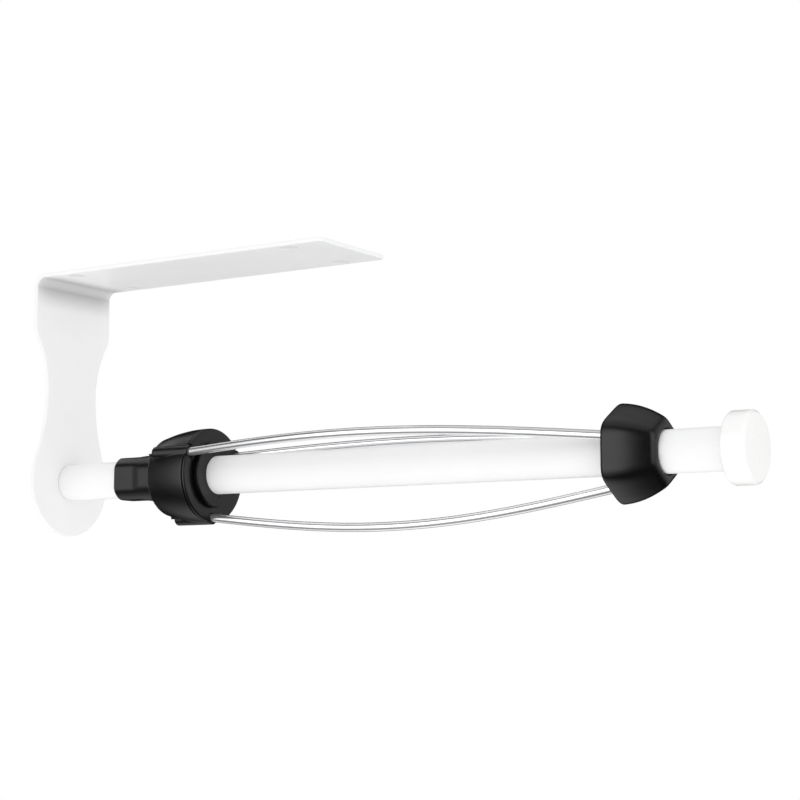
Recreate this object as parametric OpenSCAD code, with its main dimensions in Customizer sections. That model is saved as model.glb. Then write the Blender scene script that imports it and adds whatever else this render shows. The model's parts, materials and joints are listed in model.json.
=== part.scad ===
// Paper towel holder that hangs under a cabinet: a bent sheet bracket carries a white rod, and a
// sprung cage of three bowed wires turns on that rod between a ratchet drum and a sliding cone.
// Part frame, millimetres: the origin is the centre of the four screw holes on the bracket's top
// face, +Z points up into the cabinet, and +X runs along the rod towards the knob.
// Parts on the rod are drawn in the rod frame: x = 0 at the arm's inner face, the rod on the X axis.

/* [Bracket] */
// Thickness of the bent sheet
sheet_t = 1.8; // [1.5:0.1:2.2]
// Width of the mounting plate and of the arm's straight top
plate_w = 46.8; // [46:0.2:50]
// How far the mounting plate reaches from the arm's inner face
plate_reach = 151; // [145:1:170]
// Inner radius of the bend between plate and arm
bend_r = 3.6; // [2.5:0.1:5]
// Radius of the mounting plate's two free corners
plate_corner_r = 2; // [1:0.5:5]
// Height of the plate's top face above the rod's axis
rod_drop = 90; // [85:1:100]
// Radius of the round foot that carries the rod
foot_r = 23.5; // [22:0.5:26]
// Half the arm's width at its waist
waist_half = 15.4; // [14:0.2:18]
// Height of the waist above the rod's axis
waist_z = 39.5; // [36:0.5:42]
// Radius of the arm's hollow edge above the waist
upper_edge_r = 44; // [40:1:48]
// Radius of the arm's rounded shoulder
shoulder_r = 10; // [6:1:12]

/* [Mounting holes] */
// Distance between the holes along the rod
hole_pitch_x = 114; // [108:1:118]
// Distance between the holes across the plate
hole_pitch_y = 36; // [32:1:38]
// Radius of a mounting hole
hole_r = 2.25; // [2:0.25:2.5]
// Radius of a hole's countersink on the underside
sink_r = 3.6; // [3:0.1:3.7]
// Distance from the arm's inner face to the middle of the hole pattern
pattern_x = 75; // [73:1:80]

/* [Rod and knob] */
// Radius of the rod
rod_r = 8; // [8:0.5:8]
// Length of the rod between arm and knob
rod_l = 313; // [305:1:330]
// Wall of the rod's tube
rod_wall = 1.5; // [1.2:0.1:2]
// Radius of the knob
knob_r = 13.3; // [12:0.1:15]
// Thickness of the knob
knob_t = 9; // [8:0.5:12]
// Bevel round the knob's free face
knob_bevel = 1.2; // [0.5:0.1:2]

/* [Collar and drum] */
// Where the fixed collar starts
collar_x = 33; // [31:0.5:35]
// Radius of the collar's round corners
collar_r = 10.4; // [10.3:0.1:10.4]
// Distance from the rod's axis to the collar's four flats
collar_flat = 9.15; // [9:0.05:9.5]
// Length of the collar's part with straight flats
grip_l = 10.5; // [8:0.5:12]
// Radius of the collar's hidden neck, on which the drum turns
neck_r = 10; // [10:0.1:10]
// Where the drum starts
drum_x = 57.7; // [57:0.1:58]
// Where the drum ends
rim_x = 80.4; // [80:0.1:80.6]
// Radius of the drum's arm side
drum_small_r = 16.8; // [16.8:0.1:17.4]
// Radius of the drum's knob side
drum_large_r = 19.7; // [19.5:0.1:19.8]
// Radius of a round ridge about its wire
ridge_r = 2.8; // [2.7:0.1:2.9]
// Distance from the drum's arm side to the start of the ridges
ridge_start = 3.6; // [3:0.2:5]
// Thickness of the drum's end cover
cover_t = 1.3; // [1.2:0.1:1.5]

/* [Ratchet] */
// Number of ratchet teeth
teeth = 24; // [24]
// Tip radius of the ratchet wheel
tooth_tip_r = 11.6; // [11.5:0.1:11.7]
// Root radius of the ratchet wheel
tooth_root_r = 10.6; // [10.5:0.1:10.6]
// Thickness of the ratchet wheel
wheel_t = 5; // [5:0.1:5.2]

/* [Spring wires] */
// Radius of a spring wire
wire_r = 1.8; // [1.6:0.1:1.8]
// Distance from the rod's axis to a wire where it leaves the drum
wire_start_r = 17.8; // [17.6:0.1:17.9]
// Distance from the rod's axis to a wire where it enters the cone
wire_end_r = 12.1; // [11.9:0.1:12.2]
// How far a wire's middle bows out from the straight line between its ends
wire_bow = 8.6; // [4:0.2:10]

/* [Sliding cone] */
// Where the cone's open base lies
cone_x = 268.6; // [268:0.1:269]
// Length of the cone
cone_l = 19.4; // [18:0.2:20]
// Distance from the rod's axis to the cone's facets at the base
cone_facet_r = 17.1; // [16.8:0.1:18]
// Distance from the rod's axis to the cone's rounded ridges at the base
cone_ridge_r = 18.6; // [18.2:0.1:19]
// Distance from the rod's axis to the facets at the knob end
cone_end_r = 10.9; // [10.8:0.1:12]

/* [Hidden] */
$fn = 72;
slack = 0.01;                                    // overshoot of a cutting tool past a face

// Threads are drawn plain at their outer radius
thread_r = 3;
bush_l = 14;
washer_t = 0.8;
screw_head_t = 3.3;

// Hollow edge below the waist: its radius makes it tangent to the foot's circle
lower_edge_r = (waist_half * waist_half + waist_z * waist_z - foot_r * foot_r) / (2 * (foot_r - waist_half));
lower_edge_y = waist_half + lower_edge_r;
foot_angle = atan2(waist_z, lower_edge_y);
// Shoulder: a round corner that is tangent to the arm's side and to the hollow edge above the waist
upper_edge_y = waist_half + upper_edge_r;
shoulder_y = plate_w / 2 - shoulder_r;
shoulder_z = waist_z + sqrt(pow(upper_edge_r + shoulder_r, 2) - pow(upper_edge_y - shoulder_y, 2));
shoulder_angle = atan2(shoulder_z - waist_z, upper_edge_y - shoulder_y);

// Drum interior
drum_l = rim_x - drum_x;
drum_wall = 2.5;
cavity_r = 15.4;
cover_x = rim_x - cover_t;
seam = 0.3;                                      // open joint between the shell and its cover
shell_l = drum_l - cover_t - seam;
cover_plug_l = 2.5;
fit = 0.07;                                      // radial clearance of a running fit
spigot_end_x = 65;
wheel_x = spigot_end_x;
lug_l = 2;
lug_w = 4;
bushing_r = 9.6;
bushing_x = wheel_x + wheel_t + 1;
socket_x = 62.5;                                 // closed end of the drum's wire sockets
wire_angles = [-90, 30, 150];                    // bottom, back and front wire
groove_depth = 0.5;
clip_x = rim_x + 0.2;
clip_t = 2.1;
clip_r = 13.6;
clip_wrap = 215;

// Pawls hang on pins above and below the wheel
pivot_r = 13.4;
pivot_pin_r = 0.8;
pawl_boss_r = 1.55;
pin_sink = 1.5;                                  // how deep a pin sits in the shell and in the cover
pin_x = drum_x + drum_wall - pin_sink;
pin_l = drum_l - drum_wall - cover_t - cover_plug_l + 2 * pin_sink;
pawl_span = 27;                                  // angle from a pawl's pin to its tooth
pawl_x = wheel_x + 0.8;
pawl_t = wheel_t - 1.6;
pawl_tooth_angle = pawl_span + 1.5;              // angle from a pawl's pin to its tooth's face
tooth_phase = 0.5;                               // turns the wheel a little
tooth_play = 0.4;                                // angle between a pawl's tooth and the wheel's tooth face
// Turns both pawls so that each tooth sits in a gap, just short of the next tooth's face
pawl_seat = 3 * 360 / teeth + tooth_phase - tooth_play - pawl_tooth_angle;

// Wires: where the bow starts and ends along the rod, and the straight ends inside drum and cone
wire_x = rim_x + 0.2;
wire_end_x = cone_x - 0.6;
wire_tail_l = 12.5;
wire_tail_r = wire_end_r - 0.5;
wire_sides = 12;                                 // sides of a wire's section
bow_steps = 27;                                  // sections along the bow

// Cone interior
cup_l = 2.4;
retainer_t = 2;
retainer_x = cone_x + cup_l;
seat_x = retainer_x + retainer_t;
cone_bore_r = rod_r + 0.6;
cone_bushing_l = 11.5;
cone_steps = 9;                                  // straight pieces that stand for a facet's curve

paint = [0.94, 0.94, 0.95];
black = [0.08, 0.08, 0.09];
steel = [0.75, 0.76, 0.78];
acetal = [0.9, 0.88, 0.82];

// ---- helpers ----

// Places the rod frame in the part frame
module on_rod() {
    translate([-pattern_x, 0, -rod_drop]) children();
}

// Stands a shape that was drawn along +Z on the rod's axis, pointing to the knob
module along_rod(x) {
    translate([x, 0, 0]) rotate([0, 90, 0]) children();
}

// Ring or disc round the rod's axis
module ring(x, length, outer_r, inner_r = 0) {
    along_rod(x) difference() {
        cylinder(h = length, r = outer_r);
        if (inner_r > 0)
            translate([0, 0, -slack]) cylinder(h = length + 2 * slack, r = inner_r);
    }
}

// Turns a shape drawn above the rod, towards +Z, to an angle measured from +Y towards +Z
module at_angle(angle) {
    rotate([angle - 90, 0, 0]) children();
}

// ---- bracket ----

// Points along an arc, without its first one
function arc_points(centre, radius, from, to, steps) = [
    for (i = [1 : steps])
        let (angle = from + (to - from) * i / steps)
        centre + radius * [cos(angle), sin(angle)]
];

// One side of the arm from the foot's lowest point up to the bend: foot, hollow edge below the waist,
// hollow edge above it, shoulder and straight side, each tangent to the next
arm_side = concat(
    arc_points([0, 0], foot_r, -90, foot_angle, 28),
    arc_points([lower_edge_y, waist_z], lower_edge_r, 180 + foot_angle, 180, 8),
    arc_points([upper_edge_y, waist_z], upper_edge_r, 180, 180 - shoulder_angle, 8),
    arc_points([shoulder_y, shoulder_z], shoulder_r, -shoulder_angle, 0, 6),
    [[plate_w / 2, rod_drop - sheet_t - bend_r]]
);

// Arm's outline: first coordinate along Y, second along Z above the rod's axis
module arm_outline() {
    last = len(arm_side) - 1;
    other_side = [for (i = [last : -1 : 0]) [-arm_side[i][0], arm_side[i][1]]];
    polygon(concat([[0, -foot_r]], arm_side, other_side));
}

module mounting_hole() {
    translate([0, 0, -sheet_t - slack]) cylinder(h = sheet_t + 2 * slack, r = hole_r);
    translate([0, 0, -sheet_t - slack]) cylinder(h = sink_r - hole_r + slack, r1 = sink_r, r2 = hole_r);
}

module plate() {
    bend_outer_r = bend_r + sheet_t;
    flat_x = -pattern_x - sheet_t + bend_outer_r;
    end_x = plate_reach - pattern_x;
    corner_y = plate_w / 2 - plate_corner_r;
    translate([0, 0, -sheet_t]) linear_extrude(sheet_t) union() {
        translate([flat_x, -plate_w / 2]) square([end_x - plate_corner_r - flat_x, plate_w]);
        translate([flat_x, -corner_y]) square([end_x - flat_x, 2 * corner_y]);
        for (side = [-1, 1])
            translate([end_x - plate_corner_r, side * corner_y]) circle(r = plate_corner_r);
    }
}

// Quarter of a tube's wall between plate and arm
module bend() {
    outer_r = bend_r + sheet_t;
    translate([-pattern_x + bend_r, plate_w / 2, -outer_r]) rotate([90, 0, 0])
        linear_extrude(plate_w) difference() {
            intersection() {
                circle(r = outer_r);
                translate([-outer_r, 0]) square(outer_r);
            }
            circle(r = bend_r);
        }
}

module bracket() {
    color(paint) difference() {
        union() {
            plate();
            bend();
            on_rod() rotate([90, 0, 90]) translate([0, 0, -sheet_t]) linear_extrude(sheet_t) arm_outline();
        }
        for (x = [-1, 1], y = [-1, 1])
            translate([x * hole_pitch_x / 2, y * hole_pitch_y / 2, 0]) mounting_hole();
        on_rod() along_rod(-sheet_t - slack) cylinder(h = sheet_t + 2 * slack, r = thread_r + 0.2);
    }
}

// ---- rod and knob ----

module rod() {
    color(paint) on_rod() difference() {
        ring(0, rod_l, rod_r, rod_r - rod_wall);
        ring(clip_x, clip_t, rod_r + 1, rod_r - groove_depth);
        collar_pin_shape(slack);
    }
}

module rod_bush() {
    color(steel) on_rod() ring(0, bush_l, rod_r - rod_wall, thread_r);
}

module rod_screw() {
    head_x = -sheet_t - washer_t;
    color(steel) on_rod() difference() {
        union() {
            ring(head_x, sheet_t + washer_t + bush_l - 4, thread_r);
            // Button head: a slice of a ball
            intersection() {
                ring(head_x - screw_head_t, screw_head_t, 5.25);
                translate([head_x - screw_head_t + 6.4, 0, 0]) sphere(r = 6.4);
            }
        }
        along_rod(head_x - screw_head_t - slack) cylinder(h = 2.2, r = 2.3, $fn = 6);
    }
}

module lock_washer() {
    color(steel) on_rod() ring(-sheet_t - washer_t, washer_t, 5.9, thread_r + 0.1);
}

module end_bush() {
    color(steel) on_rod() ring(rod_l - bush_l, bush_l, rod_r - rod_wall, thread_r);
}

module knob() {
    inner_round = 0.6;
    blind_l = knob_t - 3;
    color(paint) on_rod() difference() {
        along_rod(rod_l) rotate_extrude() polygon([
            [0, 0],
            [knob_r - inner_round, 0],
            [knob_r - 0.3 * inner_round, 0.3 * inner_round],
            [knob_r, inner_round],
            [knob_r, knob_t - knob_bevel],
            [knob_r - knob_bevel, knob_t],
            [0, knob_t]
        ]);
        ring(rod_l - slack, blind_l + slack, thread_r);
    }
}

module knob_stud() {
    color(steel) on_rod() ring(rod_l - bush_l + 3, bush_l - 3 + knob_t - 3, thread_r);
}

// ---- fixed collar and ratchet wheel ----

module collar_pin_shape(extra) {
    pin_x = spigot_end_x - 3.2;
    translate([pin_x, 0, -neck_r + 0.4 - extra])
        cylinder(h = 2 * (neck_r - 0.4 + extra), r = 1 + extra);
}

// Two blocks, front and back, that lock the wheel to the collar
module drive_lugs(gap) {
    for (side = [-1, 1])
        translate([spigot_end_x - lug_l - gap, side * (rod_r + neck_r) / 2 - 1.4, -lug_w / 2 - gap])
            cube([lug_l + gap + slack, 2.8, lug_w + 2 * gap]);
}

module fixed_collar() {
    shown_l = drum_x - 0.3 - collar_x;
    color(black) on_rod() difference() {
        union() {
            // Round bar with four flats: straight on the grip, then running out to the full round
            intersection() {
                ring(collar_x, shown_l, collar_r);
                union() {
                    translate([collar_x, -collar_flat, -collar_flat])
                        cube([grip_l, 2 * collar_flat, 2 * collar_flat]);
                    along_rod(collar_x + grip_l) rotate([0, 0, 45]) cylinder(
                        h = shown_l - grip_l,
                        r1 = collar_flat * sqrt(2),
                        r2 = collar_r * sqrt(2),
                        $fn = 4
                    );
                }
            }
            ring(collar_x + shown_l, spigot_end_x - collar_x - shown_l, neck_r);
        }
        ring(collar_x - slack, spigot_end_x - collar_x + 2 * slack, rod_r);
        collar_pin_shape(slack);
        drive_lugs(0.1);
    }
}

module collar_pin() {
    color(steel) on_rod() collar_pin_shape(0);
}

module ratchet_wheel() {
    pitch = 360 / teeth;
    // Saw teeth: each rises slowly along its back and drops straight down at its face
    outline = [for (i = [0 : teeth - 1], top = [0, 1])
        let (a = i * pitch + tooth_phase, r = top == 1 ? tooth_tip_r : tooth_root_r)
        [r * cos(a), r * sin(a)]];
    color(acetal) on_rod() difference() {
        union() {
            translate([wheel_x, 0, 0]) rotate([90, 0, 90]) linear_extrude(wheel_t) polygon(outline);
            intersection() {
                drive_lugs(0);
                ring(spigot_end_x - lug_l, lug_l + slack, neck_r - 0.2);
            }
        }
        ring(spigot_end_x - lug_l - slack, lug_l + wheel_t + 2 * slack, rod_r);
    }
}

module thrust_washer() {
    color(acetal) on_rod() ring(wheel_x + wheel_t, 0.8, 11, rod_r);
}

// Open ring that snaps into the rod's groove and keeps the drum in place
module retaining_clip() {
    color(black) on_rod() along_rod(clip_x)
        rotate([0, 0, -clip_wrap])
            rotate_extrude(angle = clip_wrap)
                translate([rod_r - groove_depth, 0]) square([clip_r - rod_r + groove_depth, clip_t]);
}

// ---- drum ----

// Round bars about the three wires' ends
module wire_bars(x, length, radius) {
    for (angle = wire_angles) at_angle(angle)
        translate([x, 0, wire_start_r]) rotate([0, 90, 0]) cylinder(h = length, r = radius);
}

// Drum's outside, swelling towards the knob and levelling out at its rim
module drum_blank() {
    edge_r = 1.2;
    swell_steps = 8;                             // straight pieces that stand for the curve
    along_rod(drum_x) rotate_extrude() polygon(concat(
        [
            [0, 0],
            [drum_small_r - edge_r, 0],
            [drum_small_r - 0.3 * edge_r, 0.3 * edge_r]
        ],
        [for (i = [0 : swell_steps])
            let (t = i / swell_steps)
            [
                drum_large_r - (drum_large_r - drum_small_r) * (1 - t) * (1 - t),
                edge_r + (shell_l - edge_r) * t
            ]],
        [[0, shell_l]]
    ));
}

// Turns a shape to each of the two pawls, above and below the rod
module at_pawls() {
    for (angle = [90, 270]) at_angle(angle + pawl_seat) children();
}

// Stands a shape on each pawl's pin, pointing to the knob
module at_pins(x) {
    at_pawls() translate([x, 0, pivot_r]) rotate([0, 90, 0]) children();
}

module drum_shell() {
    color(black) on_rod() difference() {
        union() {
            drum_blank();
            wire_bars(drum_x + ridge_start, drum_l - ridge_start, ridge_r);
        }
        ring(drum_x + drum_wall, drum_l, cavity_r);
        ring(drum_x - slack, drum_l, neck_r + fit);
        wire_bars(socket_x, rim_x - socket_x + slack, wire_r);
        at_pins(pin_x) cylinder(h = 3, r = pivot_pin_r);
        at_pawls() pawl_spring_shape(0.05);
    }
}

// Rounded disc with a plug inside the shell and a notch round each ridge
module drum_cover() {
    rim_r = 0.8;
    color(black) on_rod() difference() {
        union() {
            along_rod(cover_x) rotate_extrude() polygon([
                [0, 0],
                [drum_large_r, 0],
                [drum_large_r, cover_t - rim_r],
                [drum_large_r - 0.3 * rim_r, cover_t - 0.3 * rim_r],
                [drum_large_r - rim_r, cover_t],
                [0, cover_t]
            ]);
            ring(cover_x - cover_plug_l, cover_plug_l + slack, cavity_r - 0.05);
        }
        ring(cover_x - cover_plug_l - slack, rim_x, bushing_r + 0.02);
        wire_bars(cover_x - slack, cover_t + 2 * slack, ridge_r + 0.1);
        at_pins(pin_x) cylinder(h = pin_l, r = pivot_pin_r);
    }
}

module drum_bushing() {
    flange_t = 0.8;
    color(black) on_rod() difference() {
        union() {
            ring(bushing_x, rim_x - bushing_x - 0.1, bushing_r);
            ring(bushing_x, flange_t, 11);
        }
        ring(bushing_x - slack, rim_x, rod_r + fit);
    }
}

// ---- pawls ----

module pawl_pins() {
    color(steel) on_rod() at_pins(pin_x) cylinder(h = pin_l, r = pivot_pin_r);
}

// Curved lever with a long hub on a pin: its tooth drops between the wheel's teeth
module pawl_shape() {
    arm_in_r = 12.5;
    arm_out_r = 14.1;
    tip_r = tooth_root_r + 0.2;
    hub_gap = 0.3;
    hub_x = drum_x + drum_wall + hub_gap;
    hub_l = cover_x - cover_plug_l - hub_gap - hub_x;
    face = pawl_tooth_angle;
    rotate([90, 0, 90]) rotate([0, 0, 90]) difference() {
        union() {
            translate([pivot_r, 0, hub_x]) cylinder(h = hub_l, r = pawl_boss_r);
            translate([0, 0, pawl_x]) linear_extrude(pawl_t) intersection() {
                difference() {
                    circle(r = arm_out_r);
                    circle(r = arm_in_r);
                }
                polygon([
                    [0, 0],
                    [20, 0],
                    [20 * cos(face), 20 * sin(face)]
                ]);
            }
            translate([0, 0, pawl_x]) linear_extrude(pawl_t) polygon([
                [arm_out_r * cos(face), arm_out_r * sin(face)],
                [tip_r * cos(face), tip_r * sin(face)],
                [tip_r * cos(face - 1.5), tip_r * sin(face - 1.5)],
                [(arm_in_r + 0.3) * cos(face - 9), (arm_in_r + 0.3) * sin(face - 9)]
            ]);
        }
        translate([pivot_r, 0, drum_x]) cylinder(h = drum_l, r = pivot_pin_r + 0.05);
    }
}

// Flat strip from a slot in the shell's wall down to the pawl's back
module pawl_spring_shape(extra) {
    strip_t = 0.3 + 2 * extra;
    strip_w = 2.6 + 2 * extra;
    foot_r = cavity_r + 0.5 + extra;
    tip_r = 14.5;
    foot = [foot_r * cos(38), foot_r * sin(38)];
    tip = [tip_r * cos(20), tip_r * sin(20)];
    lean = atan2(foot[1] - tip[1], foot[0] - tip[0]);
    translate([pawl_x + (pawl_t - strip_w) / 2, 0, 0]) rotate([90, 0, 90]) rotate([0, 0, 90])
        linear_extrude(strip_w) translate(tip) rotate([0, 0, lean])
            translate([0, -strip_t / 2]) square([norm(foot - tip), strip_t]);
}

module pawl_top() {
    color(steel) on_rod() at_angle(90 + pawl_seat) pawl_shape();
}

module pawl_bottom() {
    color(steel) on_rod() at_angle(270 + pawl_seat) pawl_shape();
}

module pawl_spring_top() {
    color(steel) on_rod() at_angle(90 + pawl_seat) pawl_spring_shape(0);
}

module pawl_spring_bottom() {
    color(steel) on_rod() at_angle(270 + pawl_seat) pawl_spring_shape(0);
}

// ---- spring wires ----

// Distance from the rod's axis to a wire's centre at the share t of its bow
function bow_point(t) = [
    wire_x + (wire_end_x - wire_x) * t,
    wire_start_r + (wire_end_r - wire_start_r) * t + wire_bow * sin(180 * t)
];

// A wire's centre line: straight in the drum's socket, bowed, and straight again in the cone
function wire_path() = concat(
    [[socket_x + 0.2, wire_start_r], [wire_x - 1.2, wire_start_r]],
    [for (i = [0 : bow_steps]) bow_point(i / bow_steps)],
    [[wire_end_x + 2, wire_tail_r], [wire_end_x + wire_tail_l, wire_tail_r]]
);

// Direction of the centre line at point i, as an angle from the rod's axis
function path_slope(path, i) =
    let (a = path[max(i - 1, 0)], b = path[min(i + 1, len(path) - 1)])
    atan2(b[1] - a[1], b[0] - a[0]);

// Round bar along a centre line in the XZ plane
module swept_bar(path, radius, sides) {
    last = len(path) - 1;
    points = [for (i = [0 : last], k = [0 : sides - 1])
        let (slope = path_slope(path, i), up = radius * sin(360 * k / sides))
        [path[i][0] - up * sin(slope), radius * cos(360 * k / sides), path[i][1] + up * cos(slope)]];
    start_cap = [for (k = [0 : sides - 1]) k];
    end_cap = [for (k = [sides - 1 : -1 : 0]) last * sides + k];
    walls = [for (i = [0 : last - 1], k = [0 : sides - 1], half = [0, 1])
        let (a = i * sides + k, b = i * sides + (k + 1) % sides)
        half == 0 ? [a, a + sides, b] : [b, a + sides, b + sides]];
    polyhedron(points, concat([start_cap, end_cap], walls));
}

module spring_wire(angle) {
    color(steel) on_rod() at_angle(angle) swept_bar(wire_path(), wire_r, wire_sides);
}

module wire_bottom() {
    spring_wire(wire_angles[0]);
}

module wire_back() {
    spring_wire(wire_angles[1]);
}

module wire_front() {
    spring_wire(wire_angles[2]);
}

// ---- sliding cone ----

// Profile of the cone from the base to the knob end, curving in more and more
function cone_side(base_r, end_r) = [
    for (i = [0 : cone_steps])
        let (t = i / cone_steps)
        [cone_l * t, base_r - (base_r - end_r) * t * t]
];

// Block with two opposite facets of the cone, turned about the rod
module cone_slab(turn) {
    side = cone_side(cone_facet_r, cone_end_r);
    far_side = [for (i = [len(side) - 1 : -1 : 0]) [side[i][0], -side[i][1]]];
    rotate([turn, 0, 0]) translate([cone_x, 0, -25]) linear_extrude(50) polygon(concat(side, far_side));
}

module cone() {
    ridge_end_r = cone_end_r * cone_ridge_r / cone_facet_r;
    color(black) on_rod() difference() {
        intersection() {
            // Six domed facets with soft ridges between them
            cone_slab(0);
            cone_slab(60);
            cone_slab(120);
            along_rod(cone_x) rotate_extrude() polygon(concat(
                [[0, 0]],
                [for (p = cone_side(cone_ridge_r, ridge_end_r)) [p[1], p[0]]],
                [[0, cone_l]]
            ));
        }
        ring(cone_x - slack, cup_l + slack, 14.8);
        ring(retainer_x - slack, retainer_t + slack, 14.2);
        ring(seat_x - slack, cone_bushing_l + slack, bushing_r);
        ring(cone_x, cone_l + slack, cone_bore_r);
        for (angle = wire_angles) at_angle(angle)
            translate([seat_x - slack, 0, wire_tail_r]) rotate([0, 90, 0])
                cylinder(h = 8.5, r = wire_r + 0.05);
    }
}

module cone_bushing() {
    color(acetal) on_rod() ring(seat_x, cone_bushing_l, bushing_r, rod_r + fit);
}

module wire_retainer() {
    color(black) on_rod() difference() {
        ring(retainer_x, retainer_t, 14.2, cone_bore_r);
        for (angle = wire_angles) at_angle(angle)
            translate([retainer_x - slack, 0, wire_tail_r]) rotate([0, 90, 0])
                cylinder(h = retainer_t + 2 * slack, r = wire_r + 0.05);
    }
}

bracket();
rod();
rod_bush();
rod_screw();
lock_washer();
end_bush();
knob();
knob_stud();
fixed_collar();
collar_pin();
ratchet_wheel();
thrust_washer();
retaining_clip();
drum_shell();
drum_cover();
drum_bushing();
pawl_pins();
pawl_spring_top();
pawl_spring_bottom();
pawl_top();
pawl_bottom();
wire_bottom();
wire_back();
wire_front();
cone();
cone_bushing();
wire_retainer();
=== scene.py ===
# Looks of a paper towel holder that hangs under a cabinet: a powder-coated bracket and rod, a black
# drum, spring wires and a sliding cone. Shapes are drawn in the rod frame, in millimetres: x runs
# along the rod from the arm's inner face, y points to the back and z up, with the rod on the X axis.
import bmesh
import bpy
import json
import math
from mathutils import Matrix, Vector
from mathutils.geometry import tessellate_polygon


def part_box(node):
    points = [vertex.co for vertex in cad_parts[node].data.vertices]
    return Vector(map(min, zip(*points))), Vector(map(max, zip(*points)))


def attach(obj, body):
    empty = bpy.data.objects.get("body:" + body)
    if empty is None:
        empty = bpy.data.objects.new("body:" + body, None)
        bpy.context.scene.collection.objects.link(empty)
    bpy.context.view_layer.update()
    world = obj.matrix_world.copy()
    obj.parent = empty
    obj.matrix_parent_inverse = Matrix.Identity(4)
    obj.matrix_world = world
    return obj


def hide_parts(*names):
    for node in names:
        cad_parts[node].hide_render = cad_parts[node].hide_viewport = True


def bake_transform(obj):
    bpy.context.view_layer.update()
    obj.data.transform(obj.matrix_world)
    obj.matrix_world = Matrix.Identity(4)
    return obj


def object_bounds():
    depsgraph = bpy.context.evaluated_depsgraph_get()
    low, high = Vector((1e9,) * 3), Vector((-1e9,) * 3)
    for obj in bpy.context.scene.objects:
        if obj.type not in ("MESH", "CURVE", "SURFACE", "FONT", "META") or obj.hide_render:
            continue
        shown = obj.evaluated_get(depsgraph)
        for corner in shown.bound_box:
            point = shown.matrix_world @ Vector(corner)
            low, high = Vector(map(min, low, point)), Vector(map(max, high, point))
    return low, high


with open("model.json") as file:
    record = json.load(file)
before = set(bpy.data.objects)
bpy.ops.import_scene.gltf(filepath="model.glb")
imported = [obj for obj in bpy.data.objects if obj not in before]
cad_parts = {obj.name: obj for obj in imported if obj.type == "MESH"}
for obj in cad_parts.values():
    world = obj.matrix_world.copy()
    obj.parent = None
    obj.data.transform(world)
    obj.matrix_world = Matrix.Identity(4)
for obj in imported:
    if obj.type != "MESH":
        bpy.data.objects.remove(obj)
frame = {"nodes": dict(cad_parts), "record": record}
cad_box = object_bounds()
record = frame["record"]

MM = 0.001
SLOT_OF = {part["node"]: part["material_slot"] for part in record["subparts"]}
BODY_OF = {node: body for body, nodes in record["behaviour"]["bodies"].items() for node in nodes}

rod_low, rod_high = (Vector(corner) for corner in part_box("rod"))
ROD_AT = Vector((rod_low.x, (rod_low.y + rod_high.y) / 2, (rod_low.z + rod_high.z) / 2))


def node_box(node):
    """Lowest and highest corner of a CAD node in the rod frame, in millimetres."""
    low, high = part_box(node)
    return (Vector(low) - ROD_AT) / MM, (Vector(high) - ROD_AT) / MM


def reach(node):
    """Start and end of a CAD node along the rod, and how far it reaches above the rod's axis."""
    low, high = node_box(node)
    return low.x, high.x, high.z


# ---- materials ----

NOISE_LOW, NOISE_HIGH = 0.3, 0.7       # nearly all of a noise pattern lies between these


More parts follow.
